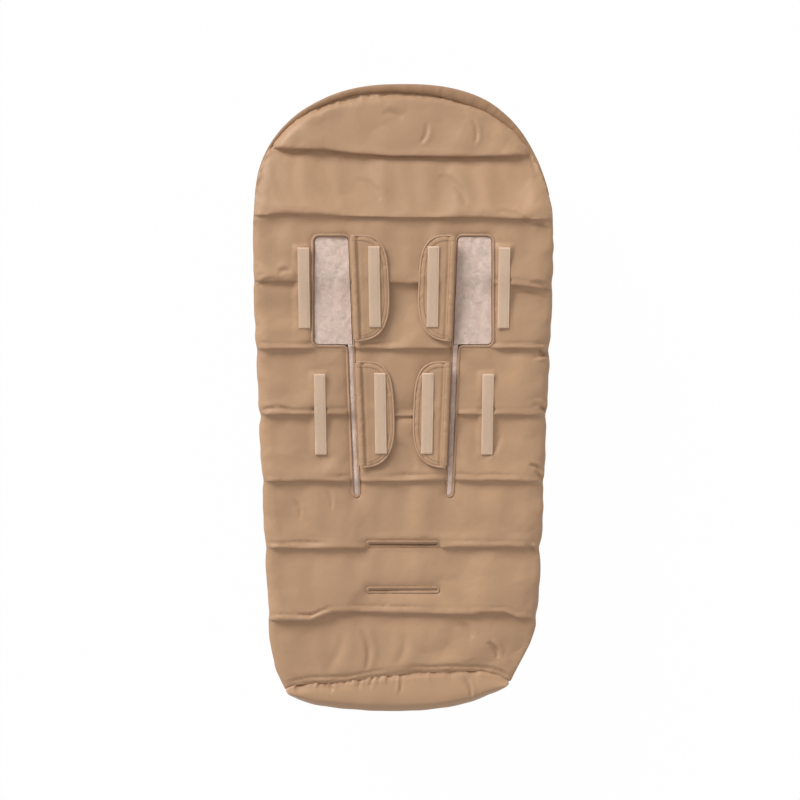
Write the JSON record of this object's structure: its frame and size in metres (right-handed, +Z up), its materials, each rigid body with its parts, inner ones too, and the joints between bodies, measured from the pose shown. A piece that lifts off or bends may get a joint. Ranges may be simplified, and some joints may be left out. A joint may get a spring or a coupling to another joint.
{
  "type": "stroller footmuff",
  "caption": "Quilted footmuff for a stroller seat, with a fold-down zipped cover, a hood, flapped harness openings and crotch strap slots in its back.",
  "frame": {"origin": "on the floor under the middle of the muff, which lies on its front with its back panel up", "axes": "+Y to the hood, +X to the right seen from above, +Z up from the floor, out of the back panel"},
  "size_m": [0.4798, 1.003, 0.0573],
  "materials": {
    "shell_satin": "soft satin polyester, light sheen",
    "flap_satin": "soft satin polyester, topstitched",
    "binding_tape": "folded binding tape",
    "rim_satin": "satin polyester, gathered",
    "hook_and_loop": "woven hook-and-loop tape",
    "fleece_lining": "short-pile fleece",
    "polyester_wadding": "polyester wadding",
    "zip_tape": "woven zip tape and nylon coil",
    "zip_metal": "die-cast zinc, satin"
  },
  "bodies": {
    "back": {"back_shell": "shell_satin", "back_padding_hood": "polyester_wadding", "back_padding_centre_upper": "polyester_wadding", "back_padding_centre_mid": "polyester_wadding", "back_padding_centre_foot": "polyester_wadding", "back_padding_window_left": "polyester_wadding", "back_padding_window_right": "polyester_wadding", "back_padding_slit_left": "polyester_wadding", "back_padding_slit_right": "polyester_wadding", "back_padding_hip_left": "polyester_wadding", "back_padding_hip_right": "polyester_wadding", "back_lining": "fleece_lining", "hood_rim": "rim_satin", "side_gusset_left": "shell_satin", "side_gusset_right": "shell_satin", "foot_gusset": "shell_satin", "toe_shell": "shell_satin", "toe_padding": "polyester_wadding", "toe_lining": "fleece_lining", "harness_binding_left": "binding_tape", "harness_binding_right": "binding_tape", "crotch_binding_upper": "binding_tape", "crotch_binding_lower": "binding_tape", "shell_strip_upper_left": "hook_and_loop", "shell_strip_upper_right": "hook_and_loop", "shell_strip_lower_left": "hook_and_loop", "shell_strip_lower_right": "hook_and_loop", "zip_tape_body_left": "zip_tape", "zip_tape_body_right": "zip_tape", "zip_coil_body_left": "zip_tape", "zip_coil_body_right": "zip_tape", "zip_stop_left": "zip_metal", "zip_stop_right": "zip_metal"},
    "cover": {"cover_shell": "shell_satin", "cover_padding": "polyester_wadding", "cover_lining": "fleece_lining", "zip_tape_cover_left": "zip_tape", "zip_tape_cover_right": "zip_tape", "zip_coil_cover_left": "zip_tape", "zip_coil_cover_right": "zip_tape"},
    "collar": {"collar_shell": "shell_satin", "collar_padding": "polyester_wadding", "collar_lining": "fleece_lining"},
    "slider_left": {"zip_slider_left": "zip_metal"},
    "pull_left": {"zip_pull_left": "zip_metal"},
    "slider_right": {"zip_slider_right": "zip_metal"},
    "pull_right": {"zip_pull_right": "zip_metal"},
    "flap_body_upper_left": {"flap_upper_left": "flap_satin", "flap_piping_upper_left": "binding_tape", "flap_strip_upper_left": "hook_and_loop"},
    "flap_body_upper_right": {"flap_upper_right": "flap_satin", "flap_piping_upper_right": "binding_tape", "flap_strip_upper_right": "hook_and_loop"},
    "flap_body_lower_left": {"flap_lower_left": "flap_satin", "flap_piping_lower_left": "binding_tape", "flap_strip_lower_left": "hook_and_loop"},
    "flap_body_lower_right": {"flap_lower_right": "flap_satin", "flap_piping_lower_right": "binding_tape", "flap_strip_lower_right": "hook_and_loop"}
  },
  "joints": [
    {"name": "cover_fold", "type": "hinge", "parent": "back", "child": "cover", "pos_m": [0, -0.3466, -0.0006], "axis": [-1, 0, 0], "range_deg": [0, 170]},
    {"name": "collar_fold", "type": "hinge", "parent": "cover", "child": "collar", "pos_m": [0, 0.1824, -0.0006], "axis": [-1, 0, 0], "range_deg": [0, 170]},
    {"name": "zip_slide_left", "type": "slide", "parent": "back", "child": "slider_left", "axis": [0.0466, -0.9989, 0], "range_m": [0, 0.4985]},
    {"name": "zip_pull_left_swing", "type": "hinge", "parent": "slider_left", "child": "pull_left", "pos_m": [-0.20213, 0.172, 0.0076], "axis": [0.9989, 0.0466, 0], "range_deg": [-10, 158]},
    {"name": "zip_slide_right", "type": "slide", "parent": "back", "child": "slider_right", "axis": [-0.0466, -0.9989, 0], "range_m": [0, 0.4985]},
    {"name": "zip_pull_right_swing", "type": "hinge", "parent": "slider_right", "child": "pull_right", "pos_m": [0.20213, 0.172, 0.0076], "axis": [0.9989, -0.0466, 0], "range_deg": [-10, 158]},
    {"name": "flap_upper_left_turn", "type": "hinge", "parent": "back", "child": "flap_body_upper_left", "pos_m": [-0.08137, 0.1723, 0.0553], "axis": [0.041, -0.9992, 0], "range_deg": [0, 180]},
    {"name": "flap_upper_right_turn", "type": "hinge", "parent": "back", "child": "flap_body_upper_right", "pos_m": [0.08137, 0.1723, 0.0553], "axis": [0.041, 0.9992, 0], "range_deg": [0, 180]},
    {"name": "flap_lower_left_turn", "type": "hinge", "parent": "back", "child": "flap_body_lower_left", "pos_m": [-0.0731, -0.0293, 0.0553], "axis": [0.041, -0.9992, 0], "range_deg": [0, 180]},
    {"name": "flap_lower_right_turn", "type": "hinge", "parent": "back", "child": "flap_body_lower_right", "pos_m": [0.0731, -0.0293, 0.0553], "axis": [0.041, 0.9992, 0], "range_deg": [0, 180]}
  ],
  "couplings": [
    {"joint": "zip_slide_left", "follows": "cover_fold", "m_per_rad": 0.16784},
    {"joint": "zip_slide_right", "follows": "cover_fold", "m_per_rad": 0.16784}
  ]
}
